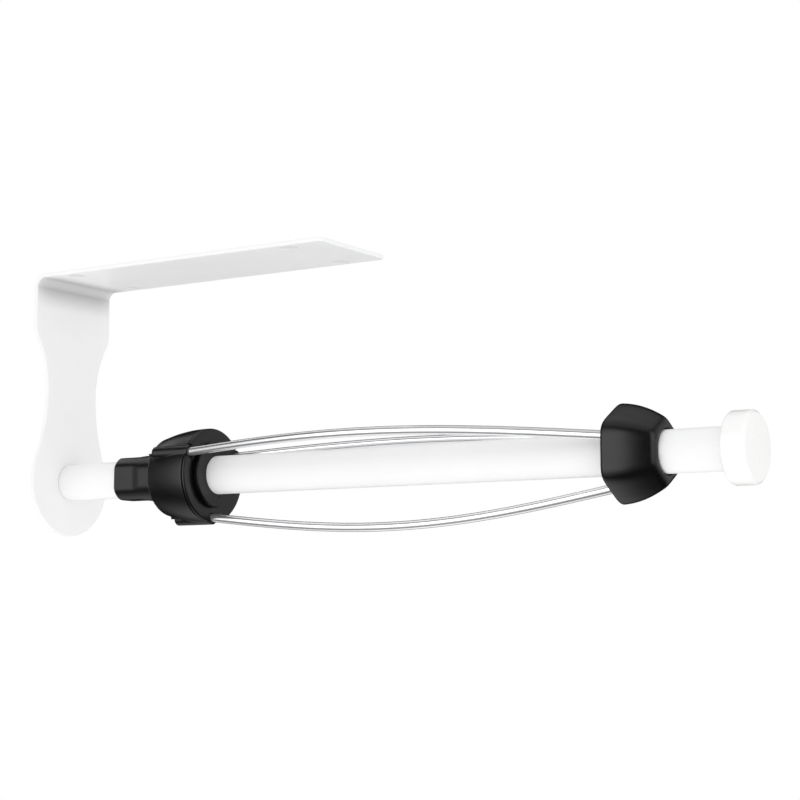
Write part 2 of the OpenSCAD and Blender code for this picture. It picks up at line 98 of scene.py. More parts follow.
class Finish:
    """A material under construction: short calls that add nodes around its shader."""

    def __init__(self, name, color, roughness, metallic=0.0):
        self.material = bpy.data.materials.new(name)
        self.material.use_nodes = True
        self.tree = self.material.node_tree
        self.shader = self.tree.nodes["Principled BSDF"]
        self.shader.inputs["Base Color"].default_value = (*color, 1)
        self.shader.inputs["Roughness"].default_value = roughness
        self.shader.inputs["Metallic"].default_value = metallic
        self.color = color
        self.roughness = roughness
        self.place = self.tree.nodes.new("ShaderNodeTexCoord").outputs["Object"]
        self.tint = None

    def link(self, output, socket):
        self.tree.links.new(output, socket)

    def stretched(self, stretch):
        """Coordinates that stretch a pattern along the axes where stretch is small."""
        mapping = self.tree.nodes.new("ShaderNodeMapping")
        mapping.inputs["Scale"].default_value = stretch
        self.link(self.place, mapping.inputs["Vector"])
        return mapping.outputs["Vector"]

    def noise(self, grain, detail=3.0, stretch=(1, 1, 1)):
        """Cloudy pattern with features about one grain across, in millimetres."""
        node = self.tree.nodes.new("ShaderNodeTexNoise")
        node.inputs["Scale"].default_value = 1 / (grain * MM)
        node.inputs["Detail"].default_value = detail
        self.link(self.stretched(stretch), node.inputs["Vector"])
        return node.outputs["Fac"]

    def spread(self, pattern, low, high):
        """Maps the middle of a pattern to the range from low to high."""
        node = self.tree.nodes.new("ShaderNodeMapRange")
        node.inputs["From Min"].default_value = NOISE_LOW
        node.inputs["From Max"].default_value = NOISE_HIGH
        node.inputs["To Min"].default_value = low
        node.inputs["To Max"].default_value = high
        self.link(pattern, node.inputs["Value"])
        return node.outputs["Result"]

    def vary_roughness(self, pattern, amount):
        """Makes the gloss uneven by an amount either way."""
        self.link(self.spread(pattern, self.roughness - amount, self.roughness + amount),
                  self.shader.inputs["Roughness"])

    def vary_color(self, pattern, other):
        """Mottles the base colour with a second one."""
        mix = self.tree.nodes.new("ShaderNodeMix")
        mix.data_type = "RGBA"
        mix.inputs["A"].default_value = (*self.color, 1)
        mix.inputs["B"].default_value = (*other, 1)
        self.link(self.spread(pattern, 0, 1), mix.inputs["Factor"])
        self.tint = mix.outputs["Result"]
        self.link(self.tint, self.shader.inputs["Base Color"])

    def paint_corner_shade(self, distance, contrast):
        """Paints shade into inner corners: darkens the mottled colour up to a distance in millimetres from
        them.
        """
        node = self.tree.nodes.new("ShaderNodeAmbientOcclusion")
        node.only_local = True
        node.inputs["Distance"].default_value = distance * MM
        deeper_shade = self.tree.nodes.new("ShaderNodeGamma")
        deeper_shade.inputs["Gamma"].default_value = contrast
        self.link(self.tint, node.inputs["Color"])
        self.link(node.outputs["Color"], deeper_shade.inputs["Color"])
        self.link(deeper_shade.outputs["Color"], self.shader.inputs["Base Color"])

    def emboss(self, pattern, depth):
        """Bumps the surface by a pattern, depth in millimetres."""
        bump = self.tree.nodes.new("ShaderNodeBump")
        bump.inputs["Distance"].default_value = depth * MM
        self.link(pattern, bump.inputs["Height"])
        self.link(bump.outputs["Normal"], self.shader.inputs["Normal"])


def powder_coat():
    """Satin white coat with a faint orange peel, slightly uneven gloss and painted shade in its inner
    corners.
    """
    coat = Finish("paint_white", color=(0.895, 0.895, 0.899), roughness=0.36)
    coat.shader.inputs["Specular IOR Level"].default_value = 0.05
    coat.emboss(coat.noise(grain=1.3, detail=2.0), depth=0.008)
    coat.vary_roughness(coat.noise(grain=6.0), amount=0.04)
    coat.vary_color(coat.noise(grain=22.0), other=tuple(0.985 * c for c in coat.color))
    # painted shade: the coat's colour is darkened in each coated piece's inner corners
    coat.paint_corner_shade(distance=13, contrast=1.3)
    return coat.material


def moulded_white():
    """Smooth white moulded plastic, a little warmer and glossier than the coat."""
    plastic = Finish("knob_white", color=(0.9, 0.9, 0.895), roughness=0.3)
    plastic.emboss(plastic.noise(grain=6.0, detail=1.0), depth=0.002)
    plastic.vary_roughness(plastic.noise(grain=5.0), amount=0.04)
    plastic.vary_color(plastic.noise(grain=9.0), other=(0.885, 0.885, 0.878))
    return plastic.material


def moulded_black():
    """Satin black plastic with faint flow marks along the rod."""
    plastic = Finish("black_plastic", color=(0.0022, 0.0022, 0.0024), roughness=0.3)
    plastic.emboss(plastic.noise(grain=3.0, detail=1.0), depth=0.0015)
    plastic.vary_roughness(plastic.noise(grain=3.5, stretch=(0.25, 1, 1)), amount=0.025)
    plastic.vary_color(plastic.noise(grain=1.6, detail=5.0, stretch=(0.3, 1, 1)),
                       other=(0.003, 0.003, 0.0032))
    return plastic.material


def sprung_wire():
    """Bright plated spring wire with faint drawing lines along its length."""
    wire = Finish("spring_steel", color=(0.93, 0.93, 0.94), roughness=0.16, metallic=0.85)
    lines = wire.noise(grain=0.25, stretch=(0.02, 1, 1))
    wire.emboss(lines, depth=0.0005)
    wire.vary_roughness(lines, amount=0.035)
    wire.vary_color(wire.noise(grain=4.0, detail=4.0, stretch=(0.2, 1, 1)), other=(0.88, 0.88, 0.9))
    return wire.material


def zinc_steel():
    """Zinc-plated steel: cloudy, with fine turning marks."""
    steel = Finish("steel", color=(0.58, 0.59, 0.61), roughness=0.3, metallic=1.0)
    steel.emboss(steel.noise(grain=0.3, detail=2.0, stretch=(3, 1, 1)), depth=0.004)
    steel.vary_roughness(steel.noise(grain=1.2, detail=4.0), amount=0.09)
    steel.vary_color(steel.noise(grain=2.2, detail=4.0), other=(0.5, 0.51, 0.52))
    return steel.material


def natural_acetal():
    """Slightly translucent off-white bearing plastic with a smooth turned skin."""
    plastic = Finish("acetal", color=(0.82, 0.8, 0.73), roughness=0.38)
    plastic.shader.inputs["Subsurface Weight"].default_value = 0.1
    plastic.shader.inputs["Subsurface Scale"].default_value = 0.5 * MM
    plastic.emboss(plastic.noise(grain=0.4, detail=2.0, stretch=(2, 1, 1)), depth=0.003)
    plastic.vary_roughness(plastic.noise(grain=1.5), amount=0.05)
    plastic.vary_color(plastic.noise(grain=3.0), other=(0.79, 0.77, 0.69))
    return plastic.material


MATERIALS = {
    "paint_white": powder_coat(),
    "knob_white": moulded_white(),
    "black_plastic": moulded_black(),
    "spring_steel": sprung_wire(),
    "steel": zinc_steel(),
    "acetal": natural_acetal(),
}

# ---- building meshes ----

SHARP_EDGE = math.radians(38)
RING_STEPS = 96                        # points round a turned piece
CLOSED_R = 0.01                        # radius at which a turned piece is capped in its middle
SAME_POINT = 1e-7                      # metres, like the next
WELD_GAP = 1e-6
LARGE_FACES_LEAD = 80                  # weight of large faces in the shading, where 50 is even
remade = set()                         # CAD nodes that a piece of this script stands for


def polar(x, radius, turn):
    """Point at an angle from +Y towards +Z, in radians."""
    return (x, radius * math.cos(turn), radius * math.sin(turn))


def loft(rings, closed):
    """Skin over rings of equally many points: closed joins the last ring to the first, and otherwise
    the two end rings are capped."""
    count, size = len(rings), len(rings[0])
    points = [point for ring in rings for point in ring]
    faces = []
    for i in range(count if closed else count - 1):
        here, there = i * size, (i + 1) % count * size
        for k in range(size):
            after = (k + 1) % size
            faces.append((here + k, here + after, there + after, there + k))
    if not closed:
        faces.append(tuple(range(size)))
        faces.append(tuple(range((count - 1) * size, count * size)))
    return points, faces


def rounded(corners, steps=5):
    """Outline through corners (x, radius, rounding), with an arc in place of each rounded corner."""
    outline = []
    for i, (x, radius, rounding) in enumerate(corners):
        corner = Vector((x, radius))
        if not rounding:
            outline.append(corner)
            continue
        to_last = (Vector(corners[i - 1][:2]) - corner).normalized()
        to_next = (Vector(corners[(i + 1) % len(corners)][:2]) - corner).normalized()
        half = to_last.angle(to_next) / 2
        centre = corner + (to_last + to_next).normalized() * rounding / math.sin(half)
        start = corner + to_last * rounding / math.tan(half) - centre
        sweep = start.angle_signed(corner + to_next * rounding / math.tan(half) - centre)
        for k in range(steps + 1):
            spoke = start.copy()
            spoke.rotate(Matrix.Rotation(-sweep * k / steps, 2))
            outline.append(centre + spoke)
    return [(point.x, point.y) for point in outline]


def quarter_turn(steps, first=0):
    """Angles that cut a quarter turn in equal steps, from the first one on."""
    return [math.pi / 2 * i / steps for i in range(first, steps + 1)]


def circle_ring(x, radius, steps=RING_STEPS):
    return [polar(x, radius, 2 * math.pi * k / steps) for k in range(steps)]


def lathe(corners, closed=True):
    """Body of revolution round the rod's axis from a rounded outline."""
    return loft([circle_ring(x, radius) for x, radius in rounded(corners)], closed)


def piece(name, skin, node, bends=False):
    points, faces = skin
    mesh = bpy.data.meshes.new(name)
    mesh.from_pydata([ROD_AT + Vector(point) * MM for point in points], [], faces)
    work = bmesh.new()
    work.from_mesh(mesh)
    bmesh.ops.remove_doubles(work, verts=work.verts, dist=SAME_POINT)
    bmesh.ops.recalc_face_normals(work, faces=work.faces)
    work.to_mesh(mesh)
    work.free()
    mesh.shade_smooth()
    mesh.set_sharp_from_angle(angle=SHARP_EDGE)
    obj = bpy.data.objects.new(name, mesh)
    bpy.context.scene.collection.objects.link(obj)
    mesh.materials.append(MATERIALS[SLOT_OF[node]])
    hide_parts(node)
    remade.add(node)
    if not bends:
        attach(obj, BODY_OF[node])
    return obj


def even_normals(obj):
    """Lets the large flat faces set the shading beside their rounded edges."""
    modifier = obj.modifiers.new("even_normals", "WEIGHTED_NORMAL")
    modifier.keep_sharp = True
    modifier.weight = LARGE_FACES_LEAD


def soften(obj, width, segments=2):
    """Rounds an object's sharp edges by a width in millimetres."""
    weld = obj.modifiers.new("weld", "WELD")
    weld.merge_threshold = WELD_GAP
    bevel = obj.modifiers.new("soft_edges", "BEVEL")
    bevel.width = width * MM
    bevel.segments = segments
    bevel.limit_method = "ANGLE"
    bevel.angle_limit = SHARP_EDGE
    even_normals(obj)


def smooth_step(t):
    """0 to 1 with a soft start and end, as t goes from 0 to 1."""
    t = min(max(t, 0.0), 1.0)
    return t * t * (3 - 2 * t)


# ---- bracket: a bent sheet with rounded edges and countersunk holes ----

SHEET = 1.8
BEND_INNER = 3.6
PLATE_CORNER = 2.0
FOOT_R = 23.5
WAIST_HALF = 15.4                      # half the arm's width where it is narrowest
WAIST_Z = 39.5                         # height of that place above the rod's axis
UPPER_EDGE_R = 44.0                    # of the hollow edge above the waist
SHOULDER_R = 10.0
SHEET_EDGE = 0.55                      # rounding of the coated sheet's edges
PATTERN = next(mount for mount in record["mounts"] if mount["name"] == "mounting_screws")["dims"]
HOLE_R = PATTERN["hole_r_mm"]
HOLE_EDGE = 0.25
SINK_R = 3.6                           # of the countersink in the underside
LIP_W = 0.15                           # rounding of the countersink's rim
LIP_T = 0.12
HOLE_STEPS = 40
BEND_STEPS = 14
EDGE_STEPS = 4                         # steps round each of the sheet's edges

bracket_high = node_box("bracket")[1]
PLATE_HALF = bracket_high.y
PLATE_TOP = bracket_high.z
BEND_OUTER = BEND_INNER + SHEET
PATTERN_X = -ROD_AT.x / MM             # the frame's origin is in the middle of the holes
PLATE_L = bracket_high.x - BEND_INNER  # flat length from the free end to the bend
ARM_TOP = PLATE_TOP - BEND_OUTER       # height where the bend meets the arm
BEND_L = BEND_OUTER * math.pi / 2


def bent(along, across, depth):
    """Place of a point on the sheet: along from the free end, across the sheet, and depth below its
    outer face."""
    if along <= PLATE_L:
        return (bracket_high.x - along, across, PLATE_TOP - depth)
    if along < PLATE_L + BEND_L:
        turn = (along - PLATE_L) / BEND_OUTER
        radius = BEND_OUTER - depth
        return (BEND_INNER - radius * math.sin(turn), across, ARM_TOP + radius * math.cos(turn))
    return (depth - SHEET, across, ARM_TOP - (along - PLATE_L - BEND_L))


def arc(centre, radius, start, end, steps):
    """Points along an arc without its first one, angles in radians."""
    turns = [start + (end - start) * (i + 1) / steps for i in range(steps)]
    return [(centre[0] + radius * math.cos(t), centre[1] + radius * math.sin(t)) for t in turns]


def arm_side():
    """One edge of the arm as (across, height above the rod's axis), from the bend down to the foot's
    lowest point: straight side, shoulder, hollow edge above the waist, hollow edge below it, foot."""
    lower_r = (WAIST_HALF ** 2 + WAIST_Z ** 2 - FOOT_R ** 2) / (2 * (FOOT_R - WAIST_HALF))
    foot_turn = math.atan2(WAIST_Z, WAIST_HALF + lower_r)
    upper_y = WAIST_HALF + UPPER_EDGE_R
    shoulder_y = PLATE_HALF - SHOULDER_R
    rise = math.sqrt((UPPER_EDGE_R + SHOULDER_R) ** 2 - (upper_y - shoulder_y) ** 2)
    shoulder_turn = math.atan2(rise, upper_y - shoulder_y)
    top = [(PLATE_HALF, ARM_TOP), (PLATE_HALF, WAIST_Z + rise)]
    shoulder = arc((shoulder_y, WAIST_Z + rise), SHOULDER_R, 0, -shoulder_turn, steps=14)
    above = arc((upper_y, WAIST_Z), UPPER_EDGE_R, math.pi - shoulder_turn, math.pi, steps=16)
    below = arc((WAIST_HALF + lower_r, WAIST_Z), lower_r, math.pi, math.pi + foot_turn, steps=16)
    foot = arc((0, 0), FOOT_R, foot_turn, -math.pi / 2, steps=48)
    return top + shoulder + above + below + foot


def sheet_side():
    """One edge of the whole sheet as (along, across), from the free end to the foot's lowest point."""
    corner = arc((PLATE_CORNER, PLATE_HALF - PLATE_CORNER), PLATE_CORNER, math.pi, math.pi / 2,
                 steps=8)
    side = [(0.0, 0.0), (0.0, PLATE_HALF - PLATE_CORNER)] + corner
    bend = [(PLATE_L + BEND_L * i / BEND_STEPS, PLATE_HALF) for i in range(BEND_STEPS)]
    arm = [(PLATE_L + BEND_L + ARM_TOP - z, y) for y, z in arm_side()]
    return side + bend + arm


def inset(side, amount):
    """The edge moved into the sheet, at right angles to itself."""
    moved = []
    for i, (along, across) in enumerate(side):
        before = side[i - 1] if i else (side[0][0], -side[1][1])
        after = side[i + 1] if i + 1 < len(side) else (side[-2][0], -side[-2][1])
        run, rise = after[0] - before[0], after[1] - before[1]
        length = math.hypot(run, rise)
        moved.append((along + amount * rise / length, across - amount * run / length))
    moved[0] = (side[0][0] + amount, 0.0)
    moved[-1] = (side[-1][0] - amount, 0.0)
    return moved


def bracket_skin():
    """Whole sheet: loops round its rounded edges, strips across the bend and the arm, and the plate's
    two faces with the holes' walls between them."""
    side = sheet_side()
    last = len(side) - 1
    points, faces, loops = [], [], []

    def add_loop(amount, depth):
        """Whole outline at one depth: down one edge and back up the other."""
        edge = inset(side, amount)
        outline = edge + [(along, -across) for along, across in edge[-2:0:-1]]
        loops.append(range(len(points), len(points) + len(outline)))
        points.extend(bent(along, across, depth) for along, across in outline)

    for turn in quarter_turn(EDGE_STEPS):
        add_loop(SHEET_EDGE * (1 - math.sin(turn)), SHEET_EDGE * (1 - math.cos(turn)))
    for turn in reversed(quarter_turn(EDGE_STEPS)):
        add_loop(SHEET_EDGE * (1 - math.sin(turn)), SHEET - SHEET_EDGE * (1 - math.cos(turn)))
    size = len(loops[0])
    for upper, lower in zip(loops, loops[1:]):
        for k in range(size):
            after = (k + 1) % size
            faces.append((upper[k], upper[after], lower[after], lower[k]))

    # Both faces of the bend and the arm, in strips from edge to edge
    bend_start = next(i for i, (along, _) in enumerate(side) if along >= PLATE_L)
    for loop in (loops[0], loops[-1]):
        for i in range(bend_start, last - 1):
            faces.append((loop[i], loop[i + 1], loop[size - i - 1], loop[size - i]))
        faces.append((loop[last - 1], loop[last], loop[last + 1]))

    # Both faces of the plate, with the countersunk holes between them
    spots = [(bracket_high.x - PATTERN_X + sx * PATTERN["spacing_x_mm"] / 2,
              sy * PATTERN["spacing_y_mm"] / 2) for sx in (-1, 1) for sy in (-1, 1)]
    hole_wall = [(HOLE_R + HOLE_EDGE, 0), (HOLE_R, HOLE_EDGE), (HOLE_R, SHEET - SINK_R + HOLE_R),
                 (SINK_R, SHEET - LIP_T), (SINK_R + LIP_W, SHEET)]
    bottom = len(hole_wall) - 1
    rims = {}
    for level, (radius, depth) in enumerate(hole_wall):
        for spot, (along, across) in enumerate(spots):
            rims[level, spot] = list(range(len(points), len(points) + HOLE_STEPS))
            for k in range(HOLE_STEPS):
                turn = 2 * math.pi * k / HOLE_STEPS
                points.append(bent(along + radius * math.cos(turn),
                                   across + radius * math.sin(turn), depth))
    for level in range(bottom):
        for spot in range(len(spots)):
            upper, lower = rims[level, spot], rims[level + 1, spot]
            for k in range(HOLE_STEPS):
                after = (k + 1) % HOLE_STEPS
                faces.append((upper[k], upper[after], lower[after], lower[k]))
    for loop, level in ((loops[0], 0), (loops[-1], bottom)):
        outline = list(loop[:bend_start + 1]) + [loop[i] for i in range(size - bend_start, size)]
        rings = [outline] + [rims[level, spot] for spot in range(len(spots))]
        flat = [index for ring in rings for index in ring]
        corners = [[Vector(points[index]) for index in ring] for ring in rings]
        faces.extend(tuple(flat[k] for k in triangle) for triangle in tessellate_polygon(corners))
    return points, faces


bracket = piece("bracket_sheet", bracket_skin(), "bracket")
even_normals(bracket)

# ---- rod, knob and their screw ----

rod_start, rod_end, ROD_R = reach("rod")
clip_start, clip_end, clip_r = reach("retaining_clip")
ROD_WALL = 1.5
ROD_EDGE = 0.6                         # at the arm, where it shows as a dark line
ROD_FAR_EDGE = 0.3
ROD_BORE_EDGE = 0.2
GROOVE = 0.5                           # depth of the clip's groove
GROOVE_EDGE = 0.1
piece("rod_tube", lathe([
    (rod_start, ROD_R - ROD_WALL, ROD_BORE_EDGE),
    (rod_start, ROD_R, ROD_EDGE),
    (clip_start, ROD_R, GROOVE_EDGE),
    (clip_start, ROD_R - GROOVE, 0),
    (clip_end, ROD_R - GROOVE, 0),
    (clip_end, ROD_R, GROOVE_EDGE),
    (rod_end, ROD_R, ROD_FAR_EDGE),
    (rod_end, ROD_R - ROD_WALL, ROD_BORE_EDGE),
]), "rod")

knob_start, knob_end, knob_r = reach("knob")
KNOB_BEVEL = 1.2
KNOB_BACK_EDGE = 0.8
KNOB_FACE_EDGE = 0.45
STUD_R = 3.0
stud_end = reach("knob_stud")[1]
piece("knob_disc", lathe([
    (stud_end, CLOSED_R, 0),
    (stud_end, STUD_R, 0),
    (knob_start, STUD_R, 0),
    (knob_start, knob_r, KNOB_BACK_EDGE),
    (knob_end - KNOB_BEVEL, knob_r, KNOB_FACE_EDGE),
    (knob_end, knob_r - KNOB_BEVEL, KNOB_FACE_EDGE),
    (knob_end, CLOSED_R, 0),
], closed=False), "knob")

head_start = reach("rod_screw")[0]
washer_start, washer_end, washer_r = reach("lock_washer")
HEAD_R = 5.25
HEAD_EDGE = 0.3
DOME_R = 6.4
DOME_STEPS = 10
SOCKET_R = 2.3                         # from the socket's middle to its corners
SOCKET_DEEP = 2.2
MOUTH_W = 0.25                         # bevel of the socket's mouth
MOUTH_DEEP = 0.75
SHANK_R = 3.0
WASHER_PLAY = 0.1
WASHER_EDGE = 0.12
WASHER_RIM = 0.25


def hex_ring(x, corner_r):
    """Six-sided ring with as many points as a circle ring."""
    sector = math.pi / 3
    flat_r = corner_r * math.cos(sector / 2)
    turns = [2 * math.pi * k / RING_STEPS for k in range(RING_STEPS)]
    return [polar(x, flat_r / math.cos((t + sector / 2) % sector - sector / 2), t) for t in turns]


def screw_skin():
    """Button head screw: six-sided socket, domed head with a rounded rim, and its shank."""
    dome_from, dome_to = math.asin((SOCKET_R + MOUTH_W) / DOME_R), math.asin(HEAD_R / DOME_R)
    turns = [dome_from + (dome_to - dome_from) * i / DOME_STEPS for i in range(DOME_STEPS + 1)]
    rings = [hex_ring(head_start + SOCKET_DEEP, 2 * CLOSED_R)]
    rings.append(hex_ring(head_start + SOCKET_DEEP, SOCKET_R))
    rings.append(hex_ring(head_start + MOUTH_DEEP, SOCKET_R))
    rings += [circle_ring(head_start + DOME_R - DOME_R * math.cos(t), DOME_R * math.sin(t))
              for t in turns]
    rings.append(circle_ring(washer_start - HEAD_EDGE, HEAD_R))
    rings.append(circle_ring(washer_start, HEAD_R - HEAD_EDGE))
    rings.append(circle_ring(washer_start, SHANK_R))
    rings.append(circle_ring(reach("rod_screw")[1], SHANK_R))
    return loft(rings, closed=False)


piece("rod_screw_head", screw_skin(), "rod_screw")
piece("lock_washer_ring", lathe([
    (washer_start, SHANK_R + WASHER_PLAY, WASHER_EDGE),
    (washer_start, washer_r, WASHER_RIM),
    (washer_end, washer_r, WASHER_EDGE),
    (washer_end, SHANK_R + WASHER_PLAY, WASHER_EDGE),
]), "lock_washer")

# ---- fixed collar: round bar with four flats that run out towards the drum ----

drum_start = reach("drum_shell")[0]
collar_start, collar_end, COLLAR_R = reach("fixed_collar")
COLLAR_PLAY = 0.01                     # keeps its bore off the rod
COLLAR_FLAT = 9.15                     # from the rod's axis to the flats
KNEE_FLAT = 9.7
NECK_FLAT = 9.85
NECK_R = 10.0
FLARE_START = collar_start + 10.1      # flats are straight up to here
FLARE_KNEE = FLARE_START + 4.6
COLLAR_MOUTH = 0.3
COLLAR_EDGE = 0.55
COLLAR_SIDES = 144
COLLAR_STEPS = 60
collar_shown_end = drum_start - 0.3
CORNER_SOFTNESS = 34                   # higher makes the corners between flats and round sharper


def flat_at(x):
    """Distance from the rod's axis to the collar's flats."""
    if x < FLARE_KNEE:
        rise = smooth_step((x - FLARE_START) / (FLARE_KNEE - FLARE_START))
        return COLLAR_FLAT + (KNEE_FLAT - COLLAR_FLAT) * rise
    return KNEE_FLAT + (NECK_FLAT - KNEE_FLAT) * (x - FLARE_KNEE) / (collar_shown_end - FLARE_KNEE)


def collar_ring(x, trim=0.0):
    """Round bar with four flats, as one ring with soft corners."""
    ring = []
    for k in range(COLLAR_SIDES):
        turn = 2 * math.pi * k / COLLAR_SIDES
        from_flat = (turn + math.pi / 4) % (math.pi / 2) - math.pi / 4
        flat_r = flat_at(x) / math.cos(from_flat)
        radius = (COLLAR_R ** -CORNER_SOFTNESS + flat_r ** -CORNER_SOFTNESS) ** (-1 / CORNER_SOFTNESS)
        ring.append(polar(x, radius - trim, turn))
    return ring


def collar_skin():
    """Sleeve: its bore, a bevelled mouth, a rounded edge, the flats, and a round end in the drum."""
    bore = [circle_ring(x, ROD_R + COLLAR_PLAY, COLLAR_SIDES)
            for x in (collar_end, collar_start + COLLAR_MOUTH)]
    mouth = [circle_ring(collar_start, ROD_R + COLLAR_MOUTH, COLLAR_SIDES)]
    front = [collar_ring(collar_start + COLLAR_EDGE * (1 - math.cos(t)), COLLAR_EDGE * (1 - math.sin(t)))
             for t in quarter_turn(5)]
    shown = collar_shown_end - collar_start - COLLAR_EDGE
    body = [collar_ring(collar_start + COLLAR_EDGE + shown * (i + 1) / COLLAR_STEPS)
            for i in range(COLLAR_STEPS)]
    spigot = [circle_ring(x, NECK_R, COLLAR_SIDES) for x in (collar_shown_end, collar_end)]
    return loft(bore + mouth + front + body + spigot, closed=True)


piece("collar_sleeve", collar_skin(), "fixed_collar")

# ---- drum: swelling shell with three round ridges, and its cover ----

RIDGE_ANGLES = (-90, 30, 150)          # bottom, back and front wire
RIDGE_R = 2.8
RIDGE_X = drum_start + 3.6             # where the ridges start
RIDGE_START_EDGE = 0.8
RIDGE_BLEND = 0.25                     # softness of the line where a ridge leaves the drum
RIDGE_STEPS = 30                       # steps along a ridge
DRUM_SMALL_R = 16.8
DRUM_EDGE = 1.2
DRUM_RIM = 0.45                        # rounding beside the seam
PLAIN_START = drum_start + DRUM_EDGE
PLAIN_STEPS = 4                        # steps up to where the ridges start
CAVITY_R = 15.4
BORE_R = NECK_R + 0.07
BORE_MOUTH = 0.3
SHELL_WALL = 2.5
COVER_T = 1.3
SEAM = 0.3
# Places across a ridge where the drum's rings have points, close together where it ends
half_offsets = (0.5, 1.0, 1.4, 1.75, 2.05, 2.3, 2.5, 2.65, 2.75, 2.8, 2.9, 3.05, 3.3, 3.7, 4.4)
OFFSETS = tuple(-u for u in reversed(half_offsets)) + (0.0,) + half_offsets
GAP_STEPS = 16                         # steps between two ridges

WIRE_R = node_box("wire_bottom")[1].y
WIRE_START_R = 17.8                    # from the rod's axis to the wires in the drum
WIRE_HOLE_R = WIRE_R - 0.2             # the ridge's end closes round the wire here
WIRE_MOUTH_R = WIRE_R + 0.45
WIRE_MOUTH_DEEP = 1.2
MOUTH_TAPER = 0.1
MOUTH_FLOOR = 0.2                      # depth of the cone that closes the mouth round the wire
STUB_STEPS = 40

cover_plug_start, cover_end, drum_r = reach("drum_cover")
cover_start = cover_end - COVER_T
shell_end = cover_start - SEAM


def ridged_ring(x, radius_at):
    """Ring whose points keep their sideways offset from each ridge's middle. radius_at gives the
    radius at an offset."""
    ring = []
    for angle in RIDGE_ANGLES:
        middle = math.radians(angle)
        for offset in OFFSETS:
            radius = radius_at(offset)
            ring.append(polar(x, radius, middle + math.asin(offset / radius)))
        plain = radius_at(OFFSETS[-1])
        edge = math.asin(OFFSETS[-1] / plain)
        gap = 2 * math.pi / 3 - 2 * edge
        ring += [polar(x, plain, middle + edge + gap * i / GAP_STEPS) for i in range(1, GAP_STEPS)]
    return ring


def even_ring(x, radius):
    """Plain circle with as many points as a ridged ring."""
    return ridged_ring(x, lambda offset: radius)


def ridge_top(offset, ridge_r):
    """Distance from the rod's axis to the top of a round ridge, or 0 beside it."""
    if abs(offset) > ridge_r:
        return 0.0
    return math.hypot(offset, WIRE_START_R + math.sqrt(ridge_r * ridge_r - offset * offset))


def drum_ring(x, trim=0.0, ridge_r=RIDGE_R):
    """Outside of the drum at x, trimmed towards the rod at its edges, without ridges if ridge_r is 0."""
    share = max(0.0, x - PLAIN_START) / (shell_end - PLAIN_START)
    plain = drum_r - (drum_r - DRUM_SMALL_R) * (1 - share) ** 2 - trim

    def radius_at(offset):
        top = ridge_top(offset, ridge_r)
        overlap = max(0.0, RIDGE_BLEND - abs(top - plain)) / RIDGE_BLEND
        return max(top, plain) + overlap * overlap * RIDGE_BLEND / 4

    return ridged_ring(x, radius_at)


def stub_skin(angle):
    """End of a ridge that stands in the cover's notch, with a rounded end and a sunk mouth round
    the wire."""
    turn = math.radians(angle)
    outward = Vector((0, math.cos(turn), math.sin(turn)))
    sideways = Vector((0, -math.sin(turn), math.cos(turn)))
    edge = RIDGE_R - WIRE_MOUTH_R
    outline = [(shell_end, WIRE_HOLE_R), (shell_end, RIDGE_R)]
    for t in quarter_turn(6):
        outline.append((cover_end - edge * (1 - math.sin(t)), RIDGE_R - edge * (1 - math.cos(t))))
    outline.append((cover_end - WIRE_MOUTH_DEEP, WIRE_MOUTH_R - MOUTH_TAPER))
    outline.append((cover_end - WIRE_MOUTH_DEEP - MOUTH_FLOOR, WIRE_HOLE_R))
    rings = []
    for x, radius in outline:
        centre = Vector((x, 0, 0)) + outward * WIRE_START_R
        rings.append([tuple(centre + radius * (outward * math.cos(2 * math.pi * k / STUB_STEPS)
                                               + sideways * math.sin(2 * math.pi * k / STUB_STEPS)))
                      for k in range(STUB_STEPS)])
    return loft(rings, closed=True)


def shell_skin():
    """Shell from its bore over the rounded back edge, the ridges' rounded starts and the rim into its
    cavity, with the ridges' ends as closed skins of their own."""
    rings = [even_ring(drum_start + SHELL_WALL, BORE_R), even_ring(drum_start + BORE_MOUTH, BORE_R),
             even_ring(drum_start, BORE_R + BORE_MOUTH)]
    for t in quarter_turn(8):
        rings.append(drum_ring(drum_start + DRUM_EDGE * (1 - math.cos(t)),
                               DRUM_EDGE * (1 - math.sin(t)), 0))
    for i in range(PLAIN_STEPS):
        rings.append(drum_ring(PLAIN_START + (RIDGE_X - PLAIN_START) * (i + 1) / PLAIN_STEPS, 0, 0))
    for t in quarter_turn(5):
        rings.append(drum_ring(RIDGE_X + RIDGE_START_EDGE * (1 - math.cos(t)), 0,
                               RIDGE_R - RIDGE_START_EDGE * (1 - math.sin(t))))
    straight = shell_end - DRUM_RIM - RIDGE_X - RIDGE_START_EDGE
    for i in range(RIDGE_STEPS):
        rings.append(drum_ring(RIDGE_X + RIDGE_START_EDGE + straight * (i + 1) / RIDGE_STEPS))
    for t in quarter_turn(4, first=1):
        rings.append(drum_ring(shell_end - DRUM_RIM * (1 - math.sin(t)), DRUM_RIM * (1 - math.cos(t))))
    rings += [even_ring(shell_end, CAVITY_R), even_ring(drum_start + SHELL_WALL, CAVITY_R)]
    skins = [loft(rings, closed=True)] + [stub_skin(angle) for angle in RIDGE_ANGLES]
    points, faces = [], []
    for skin_points, skin_faces in skins:
        faces += [tuple(len(points) + index for index in face) for face in skin_faces]
        points += skin_points
    return points, faces


piece("drum_shell_body", shell_skin(), "drum_shell")

COVER_BORE = 9.62
BORE_BEVEL = 0.25
COVER_EDGE = 0.8
COVER_BACK_EDGE = 0.35
DISH_WIDTH = 2.2                       # the cover dips a little round the clip
DISH_DEPTH = 0.4
NOTCH_R = RIDGE_R + 0.1
PLUG_R = CAVITY_R - 0.05
PLUG_NOTCH_GAP = 0.3


def notch_at(offset):
    """Distance from the rod's axis to the bottom of a notch."""
    return math.hypot(offset, WIRE_START_R - math.sqrt(NOTCH_R ** 2 - offset ** 2))


